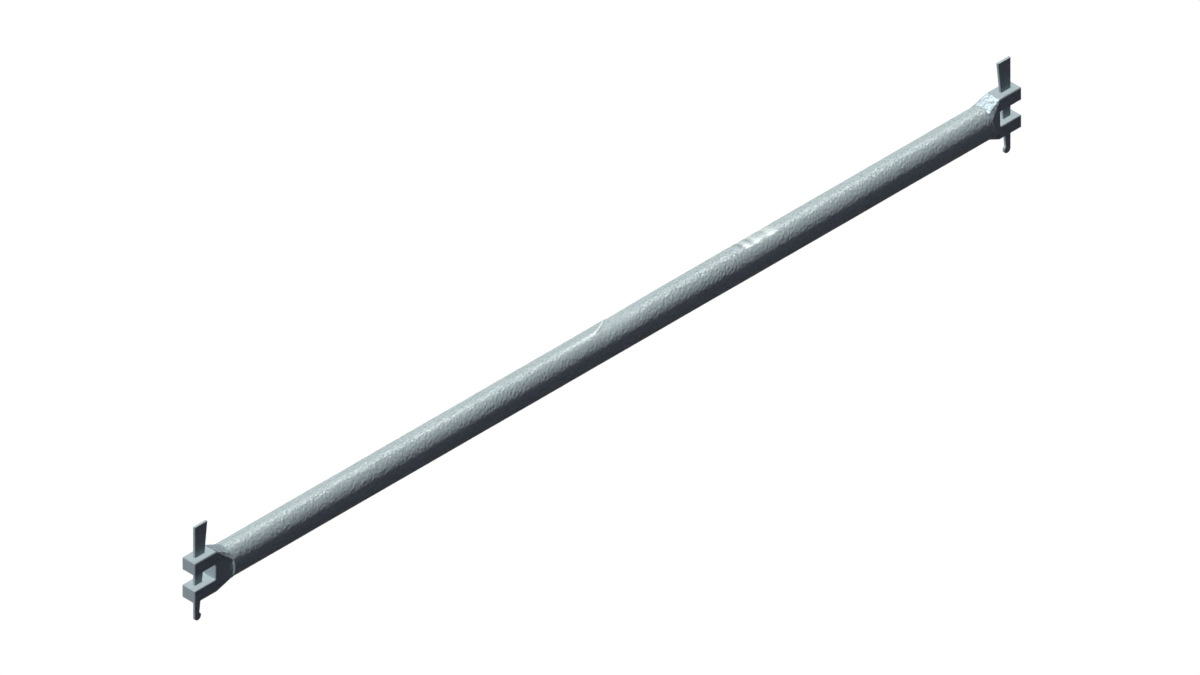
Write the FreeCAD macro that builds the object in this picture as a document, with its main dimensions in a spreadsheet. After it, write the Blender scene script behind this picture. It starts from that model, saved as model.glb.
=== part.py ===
"""Scaffold ledger: a galvanised tube with a forged fork head and a captive wedge at each end.

Each head's two jaws slide over and under the rosette of a scaffold standard.  The wedge, driven down
through the slots in both jaws and a hole of the rosette, pulls the head's bearing faces on to the standard.

Frame: the origin is on the tube's axis at mid-length, +X runs along the tube and +Z is up as installed.
A head, its wedge and its weld are drawn in the head's own frame, with the bearing faces at x = 0 and the
tube towards +X, and are then placed at their end of the ledger.
"""
import FreeCAD, Part
import math
import os
import Sketcher

# Driving dimensions in millimetres, with the wedge's taper and the neck's corner in degrees
DIMENSIONS = [
    ("bay_length", 1572.0, "between the axes of the two standards that the ledger joins"),
    ("standard_diameter", 48.3, "outside diameter of a standard"),
    ("bearing_gap", 0.85, "from a head's bearing faces to the standard, before the wedge is driven"),
    ("tube_diameter", 48.3, "outside diameter of the ledger's tube"),
    ("tube_wall", 3.2, "wall of the ledger's tube"),
    ("head_width", 24.0, "width of a head across the jaws"),
    ("jaw_height", 20.0, "height of one jaw"),
    ("jaw_length", 38.4, "from the bearing faces to the root of the rosette slot"),
    ("rosette_slot", 24.0, "height of the slot between the jaws"),
    ("slot_root_radius", 2.0, "radius in the corners of the slot's root"),
    ("root_web", 1.4, "straight stretch of the head behind the slot's root"),
    ("neck_length", 22.2, "from there to the end of the tube"),
    ("neck_corner", 33.0, "from the tube's top to the corner where the neck's top flat ends, in degrees"),
    ("head_edge_break", 1.2, "chamfer on the head's long edges"),
    ("jaw_edge_break", 0.9, "chamfer round the bearing faces and along the slot's rims"),
    ("spigot_length", 15.0, "locating spigot inside the tube"),
    ("spigot_clearance", 0.25, "between the spigot and the tube's bore, all round"),
    ("wedge_thickness", 4.0, "thickness of the wedge plate"),
    ("wedge_width", 23.0, "width of the wedge at its struck end"),
    ("wedge_taper", 6.0, "slope of the wedge's inner edge"),
    ("wedge_length", 150.0, "overall length of the wedge"),
    ("wedge_stand", 48.0, "struck end above the upper jaw, with the wedge driven home"),
    ("wedge_setback", 10.0, "from the bearing faces to the wedge's straight edge"),
    ("wedge_edge_break", 0.4, "chamfer round the wedge's broad faces"),
    ("catch_diameter", 11.5, "rounded foot that keeps the raised wedge in the upper jaw"),
    ("wedge_side_play", 0.4, "between the wedge and a jaw's slot, each side"),
    ("wedge_end_play", 0.3, "between the wedge and the ends of a jaw's slot, when driven home"),
    ("weld_lap", 1.5, "weld bead's reach over the tube"),
    ("weld_leg", 3.5, "weld bead's reach along the neck"),
    ("weld_crown", 0.6, "weld bead's height over the tube's surface"),
    ("weld_flat", 1.2, "width of the weld bead's crown, over the tube's end"),
    ("weld_throat", 4.2, "depth of the weld bead's section below the tube's surface"),
]

# Worked-out sizes, as expressions on the sheet's cells
HALF_SPAN = "((Dims.bay_length - Dims.standard_diameter) / 2 - Dims.bearing_gap)"
NECK_START = "(Dims.jaw_length + Dims.root_web)"
NECK_END = f"({NECK_START} + Dims.neck_length)"
TUBE_LENGTH = f"(2 * ({HALF_SPAN} - {NECK_END}))"
TUBE_RADIUS = "(Dims.tube_diameter / 2)"
BORE_RADIUS = f"({TUBE_RADIUS} - Dims.tube_wall)"
HALF_WIDTH = "(Dims.head_width / 2)"
HALF_SLOT = "(Dims.rosette_slot / 2)"
HALF_HEIGHT = f"({HALF_SLOT} + Dims.jaw_height)"
WEDGE_TOP = f"({HALF_HEIGHT} + Dims.wedge_stand)"
WEDGE_SLOPE = "tan(Dims.wedge_taper * 1 deg)"
WEDGE_ANGLE = "((90 - Dims.wedge_taper) * 1 deg)"
WEDGE_INNER_TOP = "(Dims.wedge_setback + Dims.wedge_width)"
CATCH_RADIUS = "(Dims.catch_diameter / 2)"
CATCH_LEVEL = f"({WEDGE_TOP} - Dims.wedge_length + {CATCH_RADIUS})"

# Width of the wedge, driven home, at the top of each jaw, and half the slot that it passes
UPPER_JAW_WIDTH = f"(Dims.wedge_width - {WEDGE_SLOPE} * Dims.wedge_stand)"
LOWER_JAW_WIDTH = f"(Dims.wedge_width - {WEDGE_SLOPE} * ({WEDGE_TOP} + {HALF_SLOT}))"
HALF_WEDGE_SLOT = "(Dims.wedge_thickness / 2 + Dims.wedge_side_play)"

# The chamfer on the jaws' edges, limited by the thin stretch of wall that it runs along
JAW_CHAMFER = "min(Dims.jaw_edge_break; 0.8 * Dims.root_web)"

# An octagon inside the tube's circle, with four long flats and four short ones: how far its long flats lie
# from the axis, and half a long flat's length
OCTAGON_FLAT = f"({TUBE_RADIUS} * cos(Dims.neck_corner * 1 deg))"
OCTAGON_HALF_SIDE = f"({TUBE_RADIUS} * sin(Dims.neck_corner * 1 deg))"

# Where the sketches first draw the catch on the wedge's foot; the sketch's constraints then settle it
CATCH_FROM = math.radians(-180)
CATCH_TO = math.radians(65)

SIDES = {"left": -1, "right": 1}
POINT_NAMES = ("start", "end", "centre")
SKETCH_ORIGIN = (-1, 1)
ROUNDING = 1e-4
ALONG_Z = FreeCAD.Vector(0, 0, 1)

doc = FreeCAD.newDocument("scaffold_ledger")
sheet = doc.addObject("Spreadsheet::Sheet", "Dims")
for row, (alias, size, meaning) in enumerate(DIMENSIONS, start=1):
    sheet.set(f"A{row}", alias)
    sheet.set(f"B{row}", str(size))
    sheet.setAlias(f"B{row}", alias)
    sheet.set(f"C{row}", meaning)
doc.recompute()


def value(expression):
    """Number that an expression on the sheet has now."""
    return float(sheet.evalExpression(expression))


def point(across, up):
    """Point of a sketch from two expressions."""
    return FreeCAD.Vector(value(across), value(up), 0)


def add_body(label, side=None):
    """Empty body; one with a side stands at that end of the ledger, with its +X towards the tube."""
    body = doc.addObject("PartDesign::Body", label)
    body.Label = label
    if side:
        turn = 0 if SIDES[side] < 0 else 180
        body.Placement = FreeCAD.Placement(FreeCAD.Vector(), FreeCAD.Rotation(ALONG_Z, turn))
        body.setExpression("Placement.Base.x", f"{SIDES[side]} * {HALF_SPAN}")
    return body


def add_sketch(body, name, plane, offset=None):
    """Sketch on one of the body's origin planes, or moved off it along its normal by an expression."""
    sketch = body.newObject("Sketcher::SketchObject", name)
    support = next(feature for feature in body.Origin.OriginFeatures if feature.Role == plane)
    sketch.AttachmentSupport = (support, [""])
    sketch.MapMode = "FlatFace"
    if offset:
        sketch.setExpression("AttachmentOffset.Base.z", offset)
    return sketch


def tie(sketch, constraint, expression):
    """Adds a dimension to the sketch and binds it to the sheet."""
    index = sketch.addConstraint(constraint)
    sketch.setExpression(f"Constraints[{index}]", expression)


def spot(geometry, point_name):
    """Line or arc of a sketch, with the number that the sketch gives to its start, end or centre."""
    return geometry, POINT_NAMES.index(point_name) + 1


def tie_point(sketch, held, across, up):
    """Holds one spot of a sketch at a distance across and up from the sketch's origin."""
    for kind, expression in (("DistanceX", across), ("DistanceY", up)):
        tie(sketch, Sketcher.Constraint(kind, *SKETCH_ORIGIN, *held, value(expression)), expression)


def join(sketch, first, second):
    """Makes two spots of a sketch one point."""
    sketch.addConstraint(Sketcher.Constraint("Coincident", *first, *second))


def draw_line(sketch, first, second):
    """Straight line of a sketch between two pairs of expressions."""
    return sketch.addGeometry(Part.LineSegment(point(*first), point(*second)))


def draw_outline(sketch, corners):
    """Closed outline of straight lines through corners given as pairs of expressions."""
    lines = [draw_line(sketch, first, second) for first, second in zip(corners, corners[1:] + corners[:1])]
    for line, following in zip(lines, lines[1:] + lines[:1]):
        join(sketch, spot(line, "end"), spot(following, "start"))
    for line, (across, up) in zip(lines, corners):
        tie_point(sketch, spot(line, "start"), across, up)


def draw_circle(sketch, radius):
    """Circle about the sketch's origin."""
    circle = sketch.addGeometry(Part.Circle(FreeCAD.Vector(), ALONG_Z, value(radius)))
    join(sketch, spot(circle, "centre"), SKETCH_ORIGIN)
    tie(sketch, Sketcher.Constraint("Radius", circle, value(radius)), radius)


def add_pad(body, name, sketch, length, symmetric=False):
    """Pad of the sketch along its normal, or evenly to both sides of it."""
    pad = body.newObject("PartDesign::Pad", name)
    pad.Profile = sketch
    pad.SideType = "Symmetric" if symmetric else "One side"
    pad.setExpression("Length", length)
    doc.recompute()
    return pad


def add_through_cut(body, name, sketch, symmetric=False, along_normal=False):
    """Cut of the sketch through all, which must take material away."""
    before = body.Shape.Volume
    pocket = body.newObject("PartDesign::Pocket", name)
    pocket.Profile = sketch
    pocket.SideType = "Symmetric" if symmetric else "One side"
    pocket.Type = "ThroughAll"
    pocket.Reversed = along_normal
    doc.recompute()
    if body.Shape.Volume > before - ROUNDING:
        raise RuntimeError(f"{name} cuts nothing from {body.Label}")
    return pocket


def add_chamfer(body, name, base, elements, size):
    """Chamfer on the named edges of a feature and round its named faces."""
    chamfer = body.newObject("PartDesign::Chamfer", name)
    chamfer.Base = (base, elements)
    chamfer.setExpression("Size", size)
    doc.recompute()


def near(first, second):
    """True for two lengths that are the same to within rounding."""
    return abs(first - second) < ROUNDING


def names_where(kind, pieces, wanted):
    """Names of the edges or faces that a test picks by their middle point and box."""
    numbered = enumerate(pieces, start=1)
    return [f"{kind}{number}" for number, piece in numbered if wanted(piece.CenterOfMass, piece.BoundBox)]


def eight_corners(wide, less_wide, high, less_high):
    """Eight corners, symmetric about both axes, anticlockwise from the right-hand edge's lower end."""
    return [
        (wide, f"-{less_high}"),
        (wide, less_high),
        (less_wide, high),
        (f"-{less_wide}", high),
        (f"-{wide}", less_high),
        (f"-{wide}", f"-{less_high}"),
        (f"-{less_wide}", f"-{high}"),
        (less_wide, f"-{high}"),
    ]


def head_section():
    """Corners of the head's section across the tube: a tall rectangle with its four corners cut off."""
    less_wide = f"({HALF_WIDTH} - Dims.head_edge_break)"
    less_high = f"({HALF_HEIGHT} - Dims.head_edge_break)"
    return eight_corners(HALF_WIDTH, less_wide, HALF_HEIGHT, less_high)


def tube_octagon():
    """Corners of the octagon inside the tube's circle in which the neck ends."""
    return eight_corners(OCTAGON_FLAT, OCTAGON_HALF_SIDE, OCTAGON_FLAT, OCTAGON_HALF_SIDE)


def add_neck(body, kind):
    """Flat-sided loft from the head's section, behind the slot, to the octagon at the tube's end."""
    root = add_sketch(body, "neck_root", "YZ_Plane", NECK_START)
    draw_outline(root, head_section())
    seat = add_sketch(body, "neck_seat", "YZ_Plane", NECK_END)
    draw_outline(seat, tube_octagon())
    neck = body.newObject(kind, "neck")
    neck.Profile = root
    neck.Sections = [seat]
    neck.Ruled = True
    doc.recompute()


def make_tube():
    """Plain tube, cut square at both ends."""
    body = add_body("tube")
    section = add_sketch(body, "tube_section", "YZ_Plane")
    draw_circle(section, TUBE_RADIUS)
    draw_circle(section, BORE_RADIUS)
    add_pad(body, "tube_run", section, TUBE_LENGTH, symmetric=True)
    return body


def cut_rosette_slot(body):
    """Slot between the jaws, open at the bearing faces, with rounded corners at its root and broken rims."""
    mouth = "-Dims.jaw_edge_break"
    outline = add_sketch(body, "rosette_slot_outline", "XZ_Plane")
    draw_outline(outline, [
        (mouth, f"-{HALF_SLOT}"),
        ("Dims.jaw_length", f"-{HALF_SLOT}"),
        ("Dims.jaw_length", HALF_SLOT),
        (mouth, HALF_SLOT),
    ])
    slot = add_through_cut(body, "rosette_slot", outline, symmetric=True)

    root = value("Dims.jaw_length")
    half_slot = value(HALF_SLOT)
    half_width = value(HALF_WIDTH)

    def is_root_corner(middle, box):
        across = near(box.YLength, 2 * half_width)
        return across and near(middle.x, root) and near(abs(middle.z), half_slot)

    def is_slot_rim(middle, box):
        on_side = near(abs(middle.y), half_width) and near(box.YLength, 0)
        return on_side and box.XMax < root + ROUNDING and abs(middle.z) < half_slot + ROUNDING

    def is_bearing_face(middle, box):
        return near(middle.x, 0) and near(box.XLength, 0)

    rounded = body.newObject("PartDesign::Fillet", "slot_root")
    rounded.Base = (slot, names_where("Edge", slot.Shape.Edges, is_root_corner))
    rounded.setExpression("Radius", "Dims.slot_root_radius")
    doc.recompute()
    rims = names_where("Edge", rounded.Shape.Edges, is_slot_rim)
    bearing_faces = names_where("Face", rounded.Shape.Faces, is_bearing_face)
    add_chamfer(body, "jaw_edges", rounded, bearing_faces + rims, JAW_CHAMFER)


def cut_wedge_slot(body, jaw, width, upwards):
    """Slot down through one jaw, as long as the driven wedge is wide there, with play all round."""
    outer_end = "(Dims.wedge_setback - Dims.wedge_end_play)"
    inner_end = f"(Dims.wedge_setback + {width} + Dims.wedge_end_play)"
    outline = add_sketch(body, f"{jaw}_wedge_slot_outline", "XY_Plane")
    draw_outline(outline, [
        (outer_end, f"-{HALF_WEDGE_SLOT}"),
        (inner_end, f"-{HALF_WEDGE_SLOT}"),
        (inner_end, HALF_WEDGE_SLOT),
        (outer_end, HALF_WEDGE_SLOT),
    ])
    add_through_cut(body, f"{jaw}_wedge_slot", outline, along_normal=upwards)


def make_head(side):
    """Forged head: a fork of two jaws, and a neck that turns its tall section into the tube's round."""
    body = add_body(f"{side}_head", side)
    section = add_sketch(body, "fork_section", "YZ_Plane")
    draw_outline(section, head_section())
    add_pad(body, "fork", section, NECK_START)
    add_neck(body, "PartDesign::AdditiveLoft")
    spigot = add_sketch(body, "spigot_section", "YZ_Plane", NECK_END)
    draw_circle(spigot, f"({BORE_RADIUS} - Dims.spigot_clearance)")
    add_pad(body, "spigot", spigot, "Dims.spigot_length")
    cut_rosette_slot(body)
    cut_wedge_slot(body, "upper", UPPER_JAW_WIDTH, upwards=True)
    cut_wedge_slot(body, "lower", LOWER_JAW_WIDTH, upwards=False)
    return body


def make_wedge(side):
    """Flat wedge: one straight edge, one tapered edge, and a round foot that stands out as a catch."""
    body = add_body(f"{side}_wedge", side)
    sketch = add_sketch(body, "wedge_outline", "XZ_Plane")
    straight_foot = ("Dims.wedge_setback", CATCH_LEVEL)
    straight_top = ("Dims.wedge_setback", WEDGE_TOP)
    taper_top = (WEDGE_INNER_TOP, WEDGE_TOP)
    catch_centre = (f"(Dims.wedge_setback + {CATCH_RADIUS})", CATCH_LEVEL)
    catch_circle = Part.Circle(point(*catch_centre), ALONG_Z, value(CATCH_RADIUS))

    straight_edge = draw_line(sketch, straight_foot, straight_top)
    struck_end = draw_line(sketch, straight_top, taper_top)
    tapered_edge = sketch.addGeometry(Part.LineSegment(catch_circle.value(CATCH_TO), point(*taper_top)))
    catch = sketch.addGeometry(Part.ArcOfCircle(catch_circle, CATCH_FROM, CATCH_TO))
    join(sketch, spot(straight_edge, "end"), spot(struck_end, "start"))
    join(sketch, spot(struck_end, "end"), spot(tapered_edge, "end"))
    join(sketch, spot(tapered_edge, "start"), spot(catch, "end"))
    tangent = Sketcher.Constraint("Tangent", *spot(straight_edge, "start"), *spot(catch, "start"))
    sketch.addConstraint(tangent)
    sketch.addConstraint(Sketcher.Constraint("Vertical", straight_edge))
    tie_point(sketch, spot(struck_end, "start"), *straight_top)
    tie_point(sketch, spot(struck_end, "end"), *taper_top)
    tie(sketch, Sketcher.Constraint("Radius", catch, value(CATCH_RADIUS)), CATCH_RADIUS)
    catch_middle = spot(catch, "centre")
    catch_height = Sketcher.Constraint("DistanceY", *SKETCH_ORIGIN, *catch_middle, value(CATCH_LEVEL))
    tie(sketch, catch_height, CATCH_LEVEL)
    slope = Sketcher.Constraint("Angle", tapered_edge, math.radians(value(WEDGE_ANGLE)))
    tie(sketch, slope, WEDGE_ANGLE)

    plate = add_pad(body, "plate", sketch, "Dims.wedge_thickness", symmetric=True)
    broad_faces = names_where("Face", plate.Shape.Faces, lambda middle, box: near(box.YLength, 0))
    add_chamfer(body, "plate_edges", plate, broad_faces, "Dims.wedge_edge_break")
    return body


def make_weld(side):
    """Weld bead all round the tube's end: a revolved fillet section, less the neck that it lies against."""
    body = add_body(f"{side}_weld", side)
    crown_level = f"({TUBE_RADIUS} + Dims.weld_crown)"
    root_level = f"({TUBE_RADIUS} - Dims.weld_throat)"
    section = add_sketch(body, "bead_section", "XZ_Plane")
    draw_outline(section, [
        (f"({NECK_END} + Dims.weld_lap)", TUBE_RADIUS),
        (f"({NECK_END} + Dims.weld_flat / 2)", crown_level),
        (f"({NECK_END} - Dims.weld_flat / 2)", crown_level),
        (f"({NECK_END} - Dims.weld_leg)", root_level),
        (NECK_END, root_level),
        (NECK_END, TUBE_RADIUS),
    ])
    ring = body.newObject("PartDesign::Revolution", "bead_ring")
    ring.Profile = section
    ring.ReferenceAxis = (section, ["H_Axis"])
    doc.recompute()
    add_neck(body, "PartDesign::SubtractiveLoft")
    return body


def check_document(bodies):
    """Stops if any object of the document failed, or a sub-part isn't one valid solid."""
    for item in doc.Objects:
        if "Invalid" in item.State or "Error" in item.State:
            raise RuntimeError(f"{item.Label} failed: {item.State}")
    for body in bodies:
        shape = body.Shape
        if shape.isNull() or not shape.isValid() or len(shape.Solids) != 1:
            raise RuntimeError(f"{body.Label} isn't one valid solid")


sub_parts = [make_tube()]
for ledger_end in SIDES:
    sub_parts.append(make_head(ledger_end))
    sub_parts.append(make_weld(ledger_end))
    sub_parts.append(make_wedge(ledger_end))

doc.recompute()
check_document(sub_parts)
os.makedirs("parts", exist_ok=True)
for sub_part in sub_parts:
    sub_part.Shape.exportStep(f"parts/{sub_part.Label}.step")
    print(f"{sub_part.Label}: {sub_part.Shape.Volume / 1000:.2f} cm3")
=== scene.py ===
import math

import bpy
import numpy as np
from mathutils import Matrix, Vector


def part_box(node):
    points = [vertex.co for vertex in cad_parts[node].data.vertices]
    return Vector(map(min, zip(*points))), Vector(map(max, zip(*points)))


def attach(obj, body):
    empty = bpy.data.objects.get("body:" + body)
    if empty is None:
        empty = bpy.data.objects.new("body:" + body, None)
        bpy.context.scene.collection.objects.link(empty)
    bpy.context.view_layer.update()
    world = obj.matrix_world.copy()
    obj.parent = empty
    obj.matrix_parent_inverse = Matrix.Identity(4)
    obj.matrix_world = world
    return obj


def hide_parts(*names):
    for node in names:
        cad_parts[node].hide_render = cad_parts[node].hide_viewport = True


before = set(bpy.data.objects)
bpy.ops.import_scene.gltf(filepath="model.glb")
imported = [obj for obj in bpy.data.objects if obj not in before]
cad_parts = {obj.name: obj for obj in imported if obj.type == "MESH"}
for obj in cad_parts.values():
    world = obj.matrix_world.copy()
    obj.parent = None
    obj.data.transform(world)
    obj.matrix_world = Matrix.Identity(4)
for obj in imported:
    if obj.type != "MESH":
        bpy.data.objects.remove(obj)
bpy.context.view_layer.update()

bl_info = {
    "name": "Scaffold ledger",
    "version": (1, 0, 0),
    "blender": (4, 5, 0),
    "location": "3D View > Sidebar > Ledger",
    "description": "Gives the scaffold ledger its galvanised finish and sets it in a plain studio",
    "category": "Object",
}

# What the frame says, in metres: X along the tube, Z up, and the front is the -Y side.
MM = 0.001
TUBE_LOW, TUBE_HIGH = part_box("tube")
TUBE_RADIUS = TUBE_HIGH.z
LEDGER_BODY = "ledger"
ENDS = ("left", "right")

# Sizes of the solids that their boxes don't give: a head's fork, from the bearing faces to where the neck
# starts, and the depth of a weld's section below the tube's surface.
FORK_LENGTH = 39.8 * MM
NECK_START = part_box("right_head")[1].x - FORK_LENGTH
WELD_THROAT = 4.2 * MM

# The tube's grid: the gap between the rows that hold the edge of each end, the rows added round the patch
# for each one elsewhere, the steps in which that is worked out, and the rows of the bore.
END_HOLD = 0.2 * MM
CROWDING = 3
CROWDING_STEPS = 5000
BORE_ROWS = 8

# The zinc's wrinkles: the share that is left where they don't gather, the heights of the gathering field
# between which they grow to the full, and the share that rubbing takes away.
SURFACE_SEED = 48
LEAST_WRINKLES = 0.5
GATHERING = (-0.6, 1.4)
RUBBED_AWAY = 0.6

# The flattened patch. Its rim climbs as a power of the way along it. The two slopes are in radians from
# straight up towards the front. What runs along the tube is in shares of the length in which the rim
# climbs, the scuff's depths are shares of the patch's, and the width of the highlight painted along the
# rim is a share of the rim's.
RIM_CURVE = 2.5
FRONT_SLOPE = (0.0, 1.0)
BACK_SLOPE = (-2.4, -1.2)
PATCH_FULL = 0.4
PATCH_FADES = 0.5
SCUFF_DEPTHS = (0.2, 0.7)
SCUFF_FADE = (1.2, 2.2)
PAINTED_HIGHLIGHT_START = (-0.7, 0.4)
PAINTED_HIGHLIGHT_WIDTH = 0.3
SMOOTH_LEAD = 0.6

# The ring marks: the strips of the tube that are grooved and polished, each by the angle of its middle and
# the cosines of the angles off it where the strip is 0 and 1, and the band of painted shade before a ring,
# in shares of the first ring's half width.
GROOVE_MIDDLE = -0.35
GROOVE_REACH = (0.75, 0.95)
POLISH_MIDDLE = 0.15
POLISH_REACH = (0.8, 0.97)
BAND_LEAD = 1.6
BAND_WIDTH = 0.7

# How strongly each mark shows on a ring, and the gain that spreads the smoothing past the groove.
RING_SMOOTH = 0.67
SMOOTH_SPREAD = 2
RING_SCUFF = 0.6
# A highlight painted pale across the top of each ring.
RING_PAINTED_HIGHLIGHT = 0.5
# Shade painted dark in a band before each ring.
BAND_PAINTED_SHADE = 0.8

# A weld's ripples, with the points in each and the radians by which it leans over a metre, and its face:
# the points across it, the shares of the way across where the crown starts and ends and the steep fall
# ends, and its height there over the root.
RIPPLE_COUNT = 46
RIPPLE_DEPTH = 0.15 * MM
RIPPLE_POINTS = 7
RIPPLE_LEAN = 300
FACE_POINTS = 13
CROWN_START = 0.25
CROWN_END = 0.33
FALL_END = 0.5
TOE_HEIGHT = 0.8 * MM

# Zinc: how metallic its dull patina and its polished rings look, and how far its streaks are drawn out.
DULL_METAL = 0.055
POLISHED_METAL = 0.135
STREAK_STRETCH = 1.6

# The neck's finish: the length in which it gives way to the fork's, and the distances above and below the
# axis between which its grime specks begin.
NECK_FADE = 1 * MM
SPECKS_BEGIN = 14 * MM
SPECKS_FULL = 21 * MM

# A Mix node's sockets go by number where it mixes colours: the first and second colour, and the result.
MIX_FIRST = 6
MIX_SECOND = 7
MIX_RESULT = 2

# The photograph's frame in pixels, and the pixel where the middle of the tube's axis lies. Its view is at
# equal angles to the three axes.
PHOTO_WIDTH = 1200
PHOTO_HEIGHT = 675
MIDDLE_PIXEL = (601.8, 342.1)
VIEW_AZIMUTH = math.radians(-45)
VIEW_ELEVATION = math.atan(math.sqrt(0.5))
CAMERA_DISTANCE = 6.0

# The direction from which light glances off the top of the tube to the camera, and a lamp's width in
# degrees.
TUBE_LIGHT = (0.577, 0.349, 0.737)
LAMP_WIDTH = 6


def linear(hex_colour):
    """The linear red, green and blue of an sRGB hex colour."""
    channels = [int(hex_colour[start:start + 2], 16) / 255 for start in (1, 3, 5)]
    return tuple(c / 12.92 if c <= 0.04045 else ((c + 0.055) / 1.055) ** 2.4 for c in channels)


def per_metre(millimetres):
    """The texture scale whose cells are about this many millimetres across."""
    return 1000 / millimetres


def length_property(name, description, default):
    """A length in metres that the user may change."""
    return bpy.props.FloatProperty(
        name=name, description=description, default=default, unit="LENGTH", precision=5
    )


def colour_property(name, description, hex_colour):
    """A colour that the user may change."""
    return bpy.props.FloatVectorProperty(
        name=name, description=description, default=linear(hex_colour), size=3,
        subtype="COLOR", min=0, max=1,
    )


def angle_property(name, description, degrees):
    """An angle that the user may change."""
    return bpy.props.FloatProperty(
        name=name, description=description, default=math.radians(degrees), subtype="ANGLE"
    )


class LedgerTubeSettings(bpy.types.PropertyGroup):
    """Sizes of the tube's surface."""

    spokes: bpy.props.IntProperty(
        name="Spokes", description="Points round the tube", default=168, min=24
    )
    rows: bpy.props.IntProperty(
        name="Rows", description="Rings of points along the tube", default=560, min=50
    )
    grain_depth: length_property("Grain depth", "Depth of the zinc coat's wrinkles", 0.013 * MM)
    sway_depth: length_property("Sway depth", "Depth of the slow waves along the tube", 0.05 * MM)
    dent_depth: length_property("Dent depth", "Depth of the flattened patch at mid-length", 1.1 * MM)
    dent_start: length_property("Dent start", "Where along the tube the patch begins", -20 * MM)
    dent_rise: length_property("Dent rise", "Length in which the patch's rim climbs its angle", 40 * MM)
    dent_length: length_property("Dent length", "How far from its start the patch has faded out", 150 * MM)
    rim_width: length_property("Rim width", "Width of the patch's rim", 4 * MM)
    rim_angle: angle_property("Rim angle", "How far to the front of the top the rim begins", 8.2)
    rim_climb: angle_property("Rim climb", "Angle that the rim climbs over the top", 25.5)
    rim_lead: length_property("Rim lead", "How far before the patch the rim begins to climb", 13 * MM)
    ring_count: bpy.props.IntProperty(
        name="Ring marks", description="Rubbed rings on the far half of the tube", default=3, min=0
    )
    ring_depth: length_property("Ring depth", "Depth of the ring marks", 0.3 * MM)
    ring_start: length_property("Ring start", "Where along the tube the first ring mark is", 263.5 * MM)
    ring_width: length_property("Ring width", "Half the width of the first ring mark", 4.2 * MM)
    ring_gap: length_property("Ring gap", "From the first ring mark to the second", 17 * MM)
    ring_growth: bpy.props.FloatProperty(
        name="Ring growth", description="How much wider each ring mark is than the one before", default=1.5
    )


class LedgerFinishSettings(bpy.types.PropertyGroup):
    """Colours of the finishes."""

    tube_colour: colour_property("Tube", "Weathered zinc on the tube", "#BAC9CC")
    tube_shade: colour_property("Tube shade", "Darker flecks in the tube's zinc", "#A6B5B8")
    # Painted highlight: a pale colour laid along the patch's rim and over the rings.
    painted_highlight_colour: colour_property("Scrape", "Fresh zinc along the patch's rim and in the rings", "#E0EBE9")
    # Painted shade: a darker colour laid in a band before each ring mark.
    painted_shade_colour: colour_property("Grime", "Grimy bands beside the ring marks", "#87959A")
    forging_colour: colour_property("Forging", "Weathered zinc on the heads", "#A9B8BD")
    forging_shade: colour_property("Forging shade", "Darker flecks in the heads' zinc", "#A3B2B7")
    neck_colour: colour_property("Neck", "Grime specks on the necks' flats", "#7C8A90")
    wedge_colour: colour_property("Wedge", "Zinc on the wedges", "#AFBEC1")
    wedge_shade: colour_property("Wedge shade", "Darker flecks in the wedges' zinc", "#A7B5BA")
    weld_colour: colour_property("Weld", "Zinc on the weld beads", "#A9B8BD")
    weld_shade: colour_property("Weld shade", "Darker flecks in the weld beads", "#86949A")


class LedgerStageSettings(bpy.types.PropertyGroup):
    """Sizes of the studio."""

    floor_drop: length_property("Floor drop", "How far the floor is below the tube's axis", 0.8)
    floor_size: length_property("Floor size", "Length of the floor's sides", 30.0)
    frame_width: length_property("Frame width", "Width of what the camera takes in", 1.5625)


def waves(random, angle, along, count, shortest, longest, stretch):
    """A rough field of unit spread: the sum of cosine waves of seeded length, heading and phase.
    A whole number of each goes round the tube, so that the field closes, and stretch draws them out that
    way."""
    lengths = random.uniform(shortest, longest, count)
    headings = random.uniform(0, np.pi, count)
    phases = random.uniform(0, 2 * np.pi, count)
    turns = np.rint(2 * np.pi * TUBE_RADIUS * np.sin(headings) / (lengths * stretch))
    rates = 2 * np.pi * np.cos(headings) / lengths
    total = np.zeros(np.broadcast(angle, along).shape)
    for turn, rate, phase in zip(turns, rates, phases):
        total += np.cos(turn * angle + rate * along + phase)
    return total * math.sqrt(2 / count)


def smooth_step(low, high, value):
    """0 below low, 1 above high and an S-shaped rise between them."""
    share = np.clip((value - low) / (high - low), 0, 1)
    return share * share * (3 - 2 * share)


def bell(distance, width):
    """1 at no distance, falling away on both sides as a bell curve of this width."""
    return np.exp(-(distance / width) ** 2)


def strip(angle, middle, reach):
    """1 along a strip of the tube about the angle middle, and 0 away from it. reach holds the cosines of
    the angles off the middle where it is 0 and where it is 1."""
    return smooth_step(*reach, np.cos(angle - middle))


def round_points(along, radius, angle):
    """Points this far along the tube's axis and out from it, at this angle from straight up towards the
    front."""
    along, radius, angle = np.broadcast_arrays(along, radius, angle)
    return np.stack((along, -radius * np.sin(angle), radius * np.cos(angle)), axis=-1)


def closed_faces(rows, columns):
    """Corner numbers of the four-sided faces of a grid that closes on itself both ways."""
    row, column = np.meshgrid(np.arange(rows), np.arange(columns), indexing="ij")
    next_row = (row + 1) % rows
    next_column = (column + 1) % columns
    corners = (row * columns + column, next_row * columns + column,
               next_row * columns + next_column, row * columns + next_column)
    return np.stack(corners, axis=-1).reshape(-1, 4)


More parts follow.
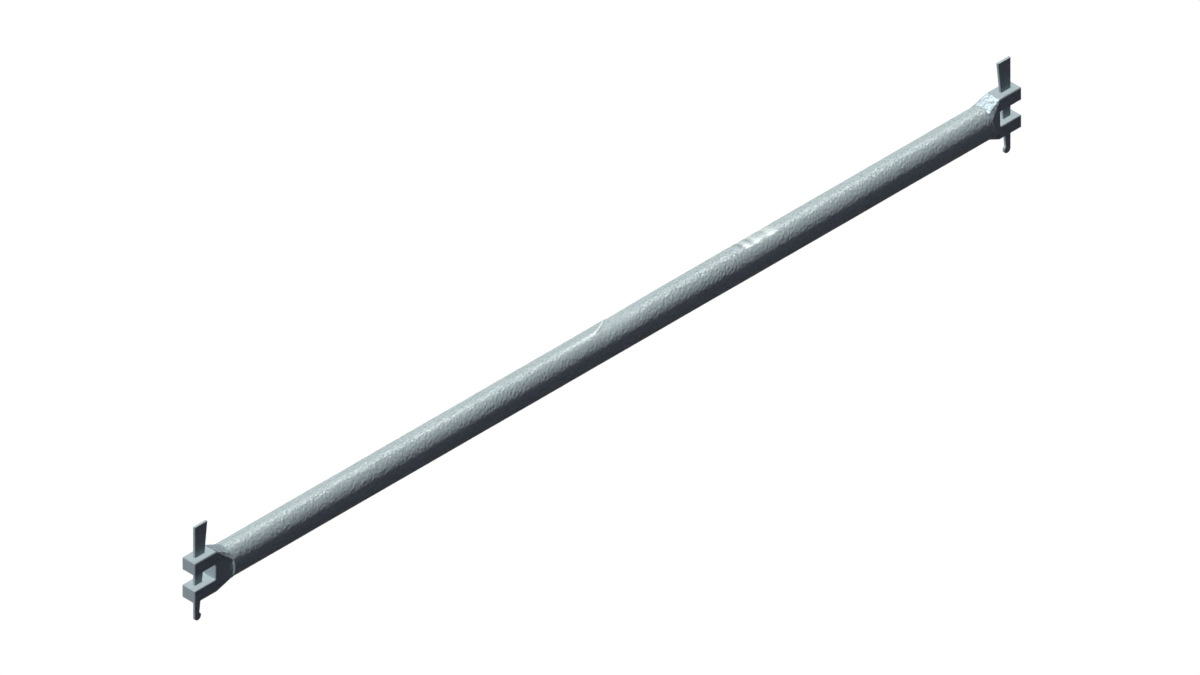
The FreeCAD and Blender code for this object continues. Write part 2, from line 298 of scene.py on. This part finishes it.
def make_piece(name, points, material, node):
    """A smooth closed piece from a grid of points, which stands for a node of the frame."""
    rows, columns = points.shape[:2]
    mesh = bpy.data.meshes.new(name)
    mesh.from_pydata(points.reshape(-1, 3).tolist(), [], closed_faces(rows, columns).tolist())
    mesh.polygons.foreach_set("use_smooth", np.ones(rows * columns, dtype=bool))
    mesh.materials.append(material)
    mesh.update()
    piece = bpy.data.objects.new(name, mesh)
    bpy.context.scene.collection.objects.link(piece)
    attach(piece, LEDGER_BODY)
    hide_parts(node)
    return piece


def spoke_angles(sizes):
    """The angle of each spoke of the tube, from straight up towards the front.
    They run from the bottom up the front and down the back, so that the faces look outward."""
    return np.linspace(np.pi, -np.pi, sizes.spokes, endpoint=False)[None, :]


def row_places(sizes):
    """Where each row of points lies along the tube. The rows thicken round the patch as a bell curve, to
    four times as close as elsewhere, and two more at each end hold its edge."""
    near_rows = (TUBE_LOW.x, TUBE_LOW.x + END_HOLD)
    far_rows = (TUBE_HIGH.x - END_HOLD, TUBE_HIGH.x)
    steps = np.linspace(TUBE_LOW.x + 2 * END_HOLD, TUBE_HIGH.x - 2 * END_HOLD, CROWDING_STEPS)
    off_patch = steps - sizes.dent_start - sizes.dent_rise / 2
    counted = np.cumsum(1 + CROWDING * bell(off_patch, sizes.dent_rise))
    wanted = np.linspace(counted[0], counted[-1], sizes.rows - len(near_rows) - len(far_rows))
    return np.concatenate((near_rows, np.interp(wanted, counted, steps), far_rows))[:, None]


def patch_marks(sizes, along, angle):
    """The flattened patch, its scuff, the highlight painted along its rim and the smooth zinc before it,
    each from 0 to 1. The patch lies to the front of a rim that climbs over the top, slowly and then faster.
    It ends in slow slopes to the front, at the back of the tube and along the tube. The scuff is where it
    is deep, the painted highlight a bell across the rim, and the smooth zinc a parabola along the tube."""
    past = along - sizes.dent_start
    share = past / sizes.dent_rise
    climbed = np.maximum(past + sizes.rim_lead, 0) / sizes.dent_rise
    rim = sizes.rim_angle - sizes.rim_climb * climbed ** RIM_CURVE
    below_rim = smooth_step(0, sizes.rim_width / TUBE_RADIUS, angle - rim)
    front_slope = 1 - smooth_step(*FRONT_SLOPE, angle)
    back_slope = smooth_step(*BACK_SLOPE, angle)
    fade_in = smooth_step(0, PATCH_FULL, share)
    fade_out = 1 - smooth_step(PATCH_FADES * sizes.dent_rise, sizes.dent_length, past)
    patch = below_rim * front_slope * back_slope * (fade_in * fade_out)
    scuff = smooth_step(*SCUFF_DEPTHS, patch) * (1 - smooth_step(*SCUFF_FADE, share))
    # The painted highlight: a pale line along the rim, where light would glance off it.
    painted_highlight = bell((angle - rim) * TUBE_RADIUS, PAINTED_HIGHLIGHT_WIDTH * sizes.rim_width)
    painted_highlight = painted_highlight * smooth_step(*PAINTED_HIGHLIGHT_START, share) * back_slope
    before = np.clip(1 - (share + SMOOTH_LEAD) ** 2, 0, 1)
    return patch, scuff, painted_highlight, before


def ring_marks(sizes, along):
    """The ring marks and the bands of painted shade before them, each from 0 to 1.
    Each is a bell along the tube, and each ring is wider and further on than the one before."""
    middle = sizes.ring_start
    gap = sizes.ring_gap
    width = sizes.ring_width
    rings = np.zeros_like(along)
    painted_shade_bands = np.zeros_like(along)
    for _ in range(sizes.ring_count):
        rings = rings + bell(along - middle, width)
        # Painted shade: a dark band just before each ring.
        painted_shade_bands = painted_shade_bands + bell(along - middle + BAND_LEAD * sizes.ring_width, BAND_WIDTH * sizes.ring_width)
        middle = middle + gap
        gap = gap * sizes.ring_growth
        width = width * sizes.ring_growth
    return rings, painted_shade_bands


def tube_skin(sizes):
    """The tube's outer skin and its marks, on a grid of rows along X and spokes round it.
    The radius at a point is the tube's, less the slow waves, the zinc's wrinkles where they gather, the
    patch and the ring marks. The marks run from 0 to 1: rub where the rings are polished, smooth where they
    and the zinc before the patch have lost their wrinkles, painted shade in a band before each ring, scuff
    where the patch and the rings are dull, and a painted highlight along the patch's rim and over the
    rings."""
    random = np.random.default_rng(SURFACE_SEED)
    along = row_places(sizes)
    angle = spoke_angles(sizes)
    sway = waves(random, angle, along, count=14, shortest=90 * MM, longest=320 * MM, stretch=1.0)
    field = waves(random, angle, along, count=24, shortest=35 * MM, longest=120 * MM, stretch=0.8)
    grain = waves(random, angle, along, count=70, shortest=6 * MM, longest=11 * MM, stretch=1.6)
    gather = LEAST_WRINKLES + (1 - LEAST_WRINKLES) * smooth_step(*GATHERING, field)

    patch, scuff, painted_highlight, before = patch_marks(sizes, along, angle)
    rings, painted_shade_bands = ring_marks(sizes, along)
    grooved = strip(angle, GROOVE_MIDDLE, GROOVE_REACH)
    polished = strip(angle, POLISH_MIDDLE, POLISH_REACH)
    smooth = np.maximum(RING_SMOOTH * np.clip(SMOOTH_SPREAD * rings, 0, 1), before) * polished
    marks = {
        "rub": rings * polished,
        "smooth": smooth,
        # Painted shade in a band before each ring mark.
        "grime_and_painted_shade": BAND_PAINTED_SHADE * painted_shade_bands * grooved,
        "scuff": np.maximum(scuff, RING_SCUFF * rings * grooved),
        # Painted highlight along the patch's rim and over the rings.
        "painted_highlight": painted_highlight + RING_PAINTED_HIGHLIGHT * rings * grooved,
    }

    depth = sizes.sway_depth * sway + sizes.grain_depth * gather * (1 - RUBBED_AWAY * smooth) * grain
    depth = depth + sizes.dent_depth * patch + sizes.ring_depth * rings * grooved
    return round_points(along, TUBE_RADIUS - depth, angle), marks


def bore_radius():
    """The radius of the tube's bore: the nearest that a corner of the tube's solid comes to its axis."""
    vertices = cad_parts["tube"].data.vertices
    corners = np.empty(3 * len(vertices))
    vertices.foreach_get("co", corners)
    corners = corners.reshape(-1, 3)
    return float(np.hypot(corners[:, 1], corners[:, 2]).min())


def tube_bore(sizes):
    """The bore: a circle carried straight back along X from the far end of the skin to its near end."""
    along = np.linspace(TUBE_HIGH.x, TUBE_LOW.x, BORE_ROWS)[:, None]
    return round_points(along, bore_radius(), spoke_angles(sizes))


def weld_ring(side):
    """A weld bead: the solid's section carried round the tube.
    Its outer face rises from the tube to a crown, falls steeply and then runs out to the neck. It swells
    with each leaning ripple of the weld, most at its middle. Its underside goes straight back."""
    low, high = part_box(f"{side}_weld")
    outward = -1 if side == "left" else 1
    leg = max(abs(low.x), abs(high.x)) - TUBE_HIGH.x
    lap = (high.x - low.x) - leg
    crown = high.z - RIPPLE_DEPTH
    root = TUBE_RADIUS - WELD_THROAT
    across = np.linspace(0, 1, FACE_POINTS)
    bends = (0, CROWN_START, CROWN_END, FALL_END, 1)
    face = np.interp(across, bends, (TUBE_RADIUS, crown, crown, root + TOE_HEIGHT, root))
    reach = np.concatenate((across * (lap + leg) - lap, (leg / 2, 0)))[None, :]
    level = np.concatenate((face, (root, root)))[None, :]
    swell = np.concatenate((np.sin(np.pi * across), (0, 0)))[None, :]
    angle = np.linspace(0, 2 * np.pi, RIPPLE_COUNT * RIPPLE_POINTS, endpoint=False)[:, None]
    ripple = np.cos(RIPPLE_COUNT * angle - RIPPLE_LEAN * reach)
    radius = level + RIPPLE_DEPTH * ripple * swell
    return round_points(outward * (TUBE_HIGH.x + reach), radius, outward * angle)


def add(tree, kind, inputs=None, **settings):
    """One shader node, with its settings by name and its inputs by socket, each a value or a link."""
    made = tree.nodes.new(kind)
    for name, setting in settings.items():
        setattr(made, name, setting)
    for socket, given in (inputs or {}).items():
        if isinstance(given, bpy.types.NodeSocket):
            tree.links.new(given, made.inputs[socket])
        else:
            made.inputs[socket].default_value = given
    return made


def opaque(colour):
    """A colour with full alpha."""
    return (*colour, 1.0)


def start_material(name):
    """A new material and its empty node tree."""
    material = bpy.data.materials.new(name)
    material.use_nodes = True
    material.node_tree.nodes.clear()
    return material, material.node_tree


def zinc_coat(tree, colour, shade, fleck, grain, relief, edge, metal, rough, grip,
              patch=21, washes=(), streak=None):
    """Hot-dip zinc gone dull outdoors: a mineral patina with a little metal in it, flecked and pebbled.
    fleck, grain and patch are sizes in millimetres. relief is the pebbles' height and edge the radius of a
    worn edge, both in metres. metal, rough and grip, how strongly the pebbles stand out, are numbers or
    masks. Each of the washes is a mask and the colour that it lays over the flecks. streak draws the
    pebbles out along a direction."""
    place = add(tree, "ShaderNodeTexCoord").outputs["Object"]
    flecks = add(tree, "ShaderNodeTexNoise",
                 {"Vector": place, "Scale": per_metre(fleck), "Detail": 4.0, "Roughness": 0.6})
    flecks = flecks.outputs["Fac"]
    tint = add(tree, "ShaderNodeMapRange", {"Value": flecks, "From Min": 0.35, "From Max": 0.6})
    paint = add(tree, "ShaderNodeMix",
                {"Factor": tint.outputs["Result"], MIX_FIRST: opaque(shade), MIX_SECOND: opaque(colour)},
                data_type="RGBA")
    for mask, wash in washes:
        paint = add(tree, "ShaderNodeMix",
                    {"Factor": mask, MIX_FIRST: paint.outputs[MIX_RESULT], MIX_SECOND: opaque(wash)},
                    data_type="RGBA")
    sheen = add(tree, "ShaderNodeMapRange",
                {"Value": flecks, "From Min": 0.3, "From Max": 0.7, "To Min": 0.03, "To Max": -0.03})
    gloss = add(tree, "ShaderNodeMath", {0: rough, 1: sheen.outputs["Result"]}, operation="ADD")

    laid = place
    if streak is not None:
        lean = Vector(streak).to_track_quat("X", "Z").to_euler()
        laid = add(tree, "ShaderNodeMapping",
                   {"Vector": place, "Rotation": lean, "Scale": (STREAK_STRETCH, 1, 1)},
                   vector_type="TEXTURE").outputs["Vector"]
    # Real zinc is pebbled at about a millimetre, too fine to show here, so the pebbles are drawn coarser.
    # They gather a little in patches a few centimetres across, with smoother skin between them.
    pebbles = add(tree, "ShaderNodeTexNoise", {"Vector": laid, "Scale": per_metre(grain), "Detail": 0.0})
    patches = add(tree, "ShaderNodeTexNoise", {"Vector": place, "Scale": per_metre(patch), "Detail": 1.0})
    gather = add(tree, "ShaderNodeMapRange",
                 {"Value": patches.outputs["Fac"], "From Min": 0.4, "From Max": 0.62,
                  "To Min": 0.9, "To Max": 1.1})
    level = add(tree, "ShaderNodeMath", {0: pebbles.outputs["Fac"], 1: 0.5}, operation="SUBTRACT")
    height = add(tree, "ShaderNodeMath",
                 {0: level.outputs["Value"], 1: gather.outputs["Result"]}, operation="MULTIPLY")
    worn = add(tree, "ShaderNodeBevel", {"Radius": edge}, samples=6)
    bump = add(tree, "ShaderNodeBump", {"Height": height.outputs["Value"], "Distance": relief,
                                        "Strength": grip, "Normal": worn.outputs["Normal"]})
    shader = add(tree, "ShaderNodeBsdfPrincipled",
                 {"Base Color": paint.outputs[MIX_RESULT], "Metallic": metal,
                  "Roughness": gloss.outputs["Value"], "Specular IOR Level": 0.0,
                  "Normal": bump.outputs["Normal"]})
    add(tree, "ShaderNodeOutputMaterial", {"Surface": shader.outputs["BSDF"]})


def galvanised_tube(finish):
    """Hot-dip galvanised steel tube: pale blue-grey zinc with slanting streaks and a soft line of light
    along it, brighter on the rubbed rings and duller on the scuffed patch, with a highlight painted pale
    along the patch's rim and over the rings, and shade painted dark in a band before each ring."""
    material, tree = start_material("galvanised_tube")
    marks = {
        name: add(tree, "ShaderNodeAttribute", attribute_name=name).outputs["Fac"]
        for name in ("rub", "smooth", "scuff", "painted_highlight", "grime_and_painted_shade")
    }
    metal = add(tree, "ShaderNodeMapRange",
                {"Value": marks["rub"], "To Min": DULL_METAL, "To Max": POLISHED_METAL})
    rough = add(tree, "ShaderNodeMapRange", {"Value": marks["scuff"], "To Min": 0.37, "To Max": 0.54})
    grip = add(tree, "ShaderNodeMapRange", {"Value": marks["smooth"], "To Min": 1.0, "To Max": 0.4})
    # The washes paint shade in a band before each ring, and a highlight along the rim and over the rings.
    zinc_coat(tree, finish.tube_colour, finish.tube_shade, fleck=3.4, grain=2.8, patch=60,
              relief=0.8 * MM, edge=0.3 * MM, metal=metal.outputs["Result"],
              rough=rough.outputs["Result"], grip=grip.outputs["Result"],
              washes=((marks["grime_and_painted_shade"], finish.painted_shade_colour), (marks["painted_highlight"], finish.painted_highlight_colour)),
              streak=(0.6, 0.55, 0.55))
    return material


def galvanised_forging(finish):
    """Forged steel head, galvanised: the same zinc, smooth on the jaws, pebbled and glossier on the neck,
    with grime specks on the neck's upper and lower flats."""
    material, tree = start_material("galvanised_forging")
    place = add(tree, "ShaderNodeTexCoord").outputs["Object"]
    axes = add(tree, "ShaderNodeSeparateXYZ", {0: place}).outputs
    outward = add(tree, "ShaderNodeMath", {0: axes["X"]}, operation="ABSOLUTE")
    neck = add(tree, "ShaderNodeMapRange",
               {"Value": outward.outputs["Value"],
                "From Min": NECK_START + NECK_FADE, "From Max": NECK_START})
    neck = neck.outputs["Result"]
    height = add(tree, "ShaderNodeMath", {0: axes["Z"]}, operation="ABSOLUTE")
    flats = add(tree, "ShaderNodeMapRange",
                {"Value": height.outputs["Value"], "From Min": SPECKS_BEGIN, "From Max": SPECKS_FULL})
    grimy = add(tree, "ShaderNodeMath", {0: neck, 1: flats.outputs["Result"]}, operation="MULTIPLY")
    specks = add(tree, "ShaderNodeTexNoise", {"Vector": place, "Scale": per_metre(3), "Detail": 1.0})
    specks = add(tree, "ShaderNodeMapRange",
                 {"Value": specks.outputs["Fac"], "From Min": 0.45, "From Max": 0.65})
    grime_and_painted_shade = add(tree, "ShaderNodeMath",
                {0: grimy.outputs["Value"], 1: specks.outputs["Result"]}, operation="MULTIPLY")
    rough = add(tree, "ShaderNodeMapRange", {"Value": neck, "To Min": 0.4, "To Max": 0.28})
    grip = add(tree, "ShaderNodeMapRange", {"Value": neck, "To Min": 0.2, "To Max": 1.0})
    zinc_coat(tree, finish.forging_colour, finish.forging_shade, fleck=9, grain=3.2, patch=22,
              relief=0.22 * MM, edge=0.4 * MM, metal=DULL_METAL, rough=rough.outputs["Result"],
              grip=grip.outputs["Result"], washes=((grime_and_painted_shade.outputs["Value"], finish.neck_colour),))
    return material


def galvanised_plate(finish):
    """Galvanised flat steel, for the wedges: broad soft flecks and the same dull sheen as the jaws."""
    material, tree = start_material("galvanised_plate")
    zinc_coat(tree, finish.wedge_colour, finish.wedge_shade, fleck=11, grain=3, relief=0.3 * MM,
              edge=0.3 * MM, metal=DULL_METAL, rough=0.4, grip=1.0)
    return material


def galvanised_weld(finish):
    """Galvanised weld metal: the same zinc with small dark flecks, as of grime held in its ripples."""
    material, tree = start_material("galvanised_weld")
    zinc_coat(tree, finish.weld_colour, finish.weld_shade, fleck=3, grain=3, relief=0.3 * MM,
              edge=0.3 * MM, metal=DULL_METAL, rough=0.42, grip=1.0)
    return material


def dress(node_names, material):
    """Gives nodes of the frame a finish in place of the one they came with."""
    for node_name in node_names:
        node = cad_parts[node_name]
        node.data.materials.clear()
        node.data.materials.append(material)


class LEDGER_OT_tube(bpy.types.Operator):
    """Makes the galvanised tube with its grain, its flattened patch and its ring marks"""

    bl_idname = "ledger.tube"
    bl_label = "Tube"

    def execute(self, context):
        sizes = context.scene.ledger_tube
        skin, marks = tube_skin(sizes)
        bore = tube_bore(sizes)
        points = np.concatenate((skin, bore))
        finish = galvanised_tube(context.scene.ledger_finish)
        piece = make_piece("tube_galvanised", points, finish, "tube")
        unmarked = np.zeros(bore.shape[0] * bore.shape[1])
        for name, mark in marks.items():
            values = np.concatenate((mark.ravel(), unmarked)).astype(np.float32)
            piece.data.attributes.new(name, "FLOAT", "POINT").data.foreach_set("value", values)
        return {"FINISHED"}


class LEDGER_OT_welds(bpy.types.Operator):
    """Makes the rippled weld beads between the heads and the tube"""

    bl_idname = "ledger.welds"
    bl_label = "Weld beads"

    def execute(self, context):
        finish = galvanised_weld(context.scene.ledger_finish)
        for side in ENDS:
            make_piece(f"{side}_weld_bead", weld_ring(side), finish, f"{side}_weld")
        return {"FINISHED"}


class LEDGER_OT_heads(bpy.types.Operator):
    """Gives the forged heads their galvanised finish"""

    bl_idname = "ledger.heads"
    bl_label = "Heads"

    def execute(self, context):
        dress([f"{side}_head" for side in ENDS], galvanised_forging(context.scene.ledger_finish))
        return {"FINISHED"}


class LEDGER_OT_wedges(bpy.types.Operator):
    """Gives the drop wedges their galvanised finish"""

    bl_idname = "ledger.wedges"
    bl_label = "Wedges"

    def execute(self, context):
        dress([f"{side}_wedge" for side in ENDS], galvanised_plate(context.scene.ledger_finish))
        return {"FINISHED"}


def seen_background(tree):
    """1 for the rays that show the background to the eye, in a polished face or through glass, and 0 for
    those that carry light."""
    rays = add(tree, "ShaderNodeLightPath").outputs
    shown = add(tree, "ShaderNodeMath",
                {0: rays["Is Camera Ray"], 1: rays["Is Glossy Ray"]}, operation="ADD")
    return add(tree, "ShaderNodeMath", {0: shown.outputs["Value"], 1: rays["Is Transmission Ray"]},
               operation="ADD", use_clamp=True).outputs["Value"]


def pale_floor():
    """Pale studio floor: white to the eye, with the shadow left on it, and too dark to light the ledger
    from below."""
    material, tree = start_material("pale_floor")
    glow = add(tree, "ShaderNodeEmission", {"Color": opaque(linear("#FFFFFF")), "Strength": 0.6})
    paper = add(tree, "ShaderNodeBsdfDiffuse", {"Color": opaque(linear("#B0B0B0"))})
    both = add(tree, "ShaderNodeAddShader", {0: glow.outputs[0], 1: paper.outputs[0]})
    dark = add(tree, "ShaderNodeBsdfDiffuse", {"Color": opaque(linear("#202226"))})
    mixed = add(tree, "ShaderNodeMixShader",
                {0: seen_background(tree), 1: dark.outputs[0], 2: both.outputs[0]})
    add(tree, "ShaderNodeOutputMaterial", {"Surface": mixed.outputs[0]})
    return material


def white_world():
    """White to the eye and in reflections, and a weak bluish fill for everything else."""
    world = bpy.data.worlds.new("studio")
    world.use_nodes = True
    tree = world.node_tree
    tree.nodes.clear()
    white = add(tree, "ShaderNodeBackground", {"Color": opaque(linear("#FFFFFF")), "Strength": 1.0})
    fill = add(tree, "ShaderNodeBackground", {"Color": opaque(linear("#C2A8FF")), "Strength": 0.042})
    mixed = add(tree, "ShaderNodeMixShader",
                {0: seen_background(tree), 1: fill.outputs[0], 2: white.outputs[0]})
    add(tree, "ShaderNodeOutputWorld", {"Surface": mixed.outputs[0]})
    return world


def add_floor(sizes):
    """A flat square below the ledger."""
    half = sizes.floor_size / 2
    corners = [(-half, -half), (half, -half), (half, half), (-half, half)]
    mesh = bpy.data.meshes.new("floor")
    mesh.from_pydata([(x, y, -sizes.floor_drop) for x, y in corners], [], [(0, 1, 2, 3)])
    mesh.materials.append(pale_floor())
    floor = bpy.data.objects.new("floor", mesh)
    bpy.context.scene.collection.objects.link(floor)


def add_lamp(name, towards, strength, width=LAMP_WIDTH, colour="#FFFFFF", shadow=False, diffuse=True):
    """A far lamp that shines from the direction towards, with this share of full light and this width in
    degrees. Without diffuse it shows as gloss alone. The photograph has no shadows on the ledger itself,
    so most lamps cast none."""
    lamp = bpy.data.lights.new(name, "SUN")
    lamp.energy = strength * math.pi
    lamp.angle = math.radians(width)
    lamp.color = linear(colour)
    lamp.use_shadow = shadow
    holder = bpy.data.objects.new(name, lamp)
    holder.rotation_euler = Vector(towards).to_track_quat("Z", "Y").to_euler()
    holder.visible_diffuse = diffuse
    bpy.context.scene.collection.objects.link(holder)


def add_lamps():
    """Lamps that light the ledger from both ends and the back, a wide one above for the shadow on the
    floor, and two for gloss alone: the gleam on the far neck, and the line of light along the tube."""
    add_lamp("key_lamp", (-0.65, 0.31, 0.694), strength=0.72)
    add_lamp("tube_lamp", TUBE_LIGHT, strength=0.48)
    add_lamp("back_lamp", (0.0, 0.8, 0.6), strength=0.10, colour="#FFF2B0")
    add_lamp("top_lamp", (0.0, 0.1, 0.995), strength=0.03, width=50, shadow=True)
    add_lamp("gleam_lamp", (-0.168, 0.577, 0.80), strength=0.6, diffuse=False)
    add_lamp("line_lamp", TUBE_LIGHT, strength=0.34, colour="#FFE9D0", diffuse=False)


def add_camera(frame_width):
    """A camera without perspective at the photograph's angle, with the ledger placed as it is there."""
    across = Vector((math.cos(VIEW_AZIMUTH), math.sin(VIEW_AZIMUTH), 0))
    back = Vector((math.sin(VIEW_AZIMUTH) * math.cos(VIEW_ELEVATION),
                   -math.cos(VIEW_AZIMUTH) * math.cos(VIEW_ELEVATION), math.sin(VIEW_ELEVATION)))
    up = back.cross(across)
    metres_per_pixel = frame_width / PHOTO_WIDTH
    shift = across * (PHOTO_WIDTH / 2 - MIDDLE_PIXEL[0]) + up * (MIDDLE_PIXEL[1] - PHOTO_HEIGHT / 2)
    place = shift * metres_per_pixel + back * CAMERA_DISTANCE
    data = bpy.data.cameras.new("photo_view")
    data.type = "ORTHO"
    data.ortho_scale = frame_width
    camera = bpy.data.objects.new("photo_view", data)
    camera.matrix_world = Matrix.Translation(place) @ Matrix((across, up, back)).transposed().to_4x4()
    bpy.context.scene.collection.objects.link(camera)
    bpy.context.scene.camera = camera


class LEDGER_OT_stage(bpy.types.Operator):
    """Sets the floor, the lamps, the background and the camera"""

    bl_idname = "ledger.stage"
    bl_label = "Studio"

    def execute(self, context):
        sizes = context.scene.ledger_stage
        add_floor(sizes)
        context.scene.world = white_world()
        add_lamps()
        add_camera(sizes.frame_width)
        context.scene.view_settings.view_transform = "Standard"
        return {"FINISHED"}


class LEDGER_PT_sidebar(bpy.types.Panel):
    """Lists the ledger's pieces and their settings"""

    bl_idname = "LEDGER_PT_sidebar"
    bl_label = "Scaffold ledger"
    bl_space_type = "VIEW_3D"
    bl_region_type = "UI"
    bl_category = "Ledger"

    def draw(self, context):
        for operator in OPERATORS:
            self.layout.operator(operator.bl_idname)
        for group_name in SETTINGS:
            group = getattr(context.scene, group_name)
            for property_name in group.__annotations__:
                self.layout.prop(group, property_name)


OPERATORS = (LEDGER_OT_tube, LEDGER_OT_welds, LEDGER_OT_heads, LEDGER_OT_wedges, LEDGER_OT_stage)
SETTINGS = {
    "ledger_tube": LedgerTubeSettings,
    "ledger_finish": LedgerFinishSettings,
    "ledger_stage": LedgerStageSettings,
}
CLASSES = (*SETTINGS.values(), *OPERATORS, LEDGER_PT_sidebar)


def register():
    """Adds the classes, and the settings to every scene."""
    for kind in CLASSES:
        bpy.utils.register_class(kind)
    for name, kind in SETTINGS.items():
        setattr(bpy.types.Scene, name, bpy.props.PointerProperty(type=kind))


def unregister():
    """Takes the settings and the classes away again."""
    for name in SETTINGS:
        delattr(bpy.types.Scene, name)
    for kind in reversed(CLASSES):
        bpy.utils.unregister_class(kind)


def main():
    """Makes the ledger and its studio."""
    register()
    bpy.ops.ledger.tube()
    bpy.ops.ledger.welds()
    bpy.ops.ledger.heads()
    bpy.ops.ledger.wedges()
    bpy.ops.ledger.stage()


if __name__ == "__main__":
    main()
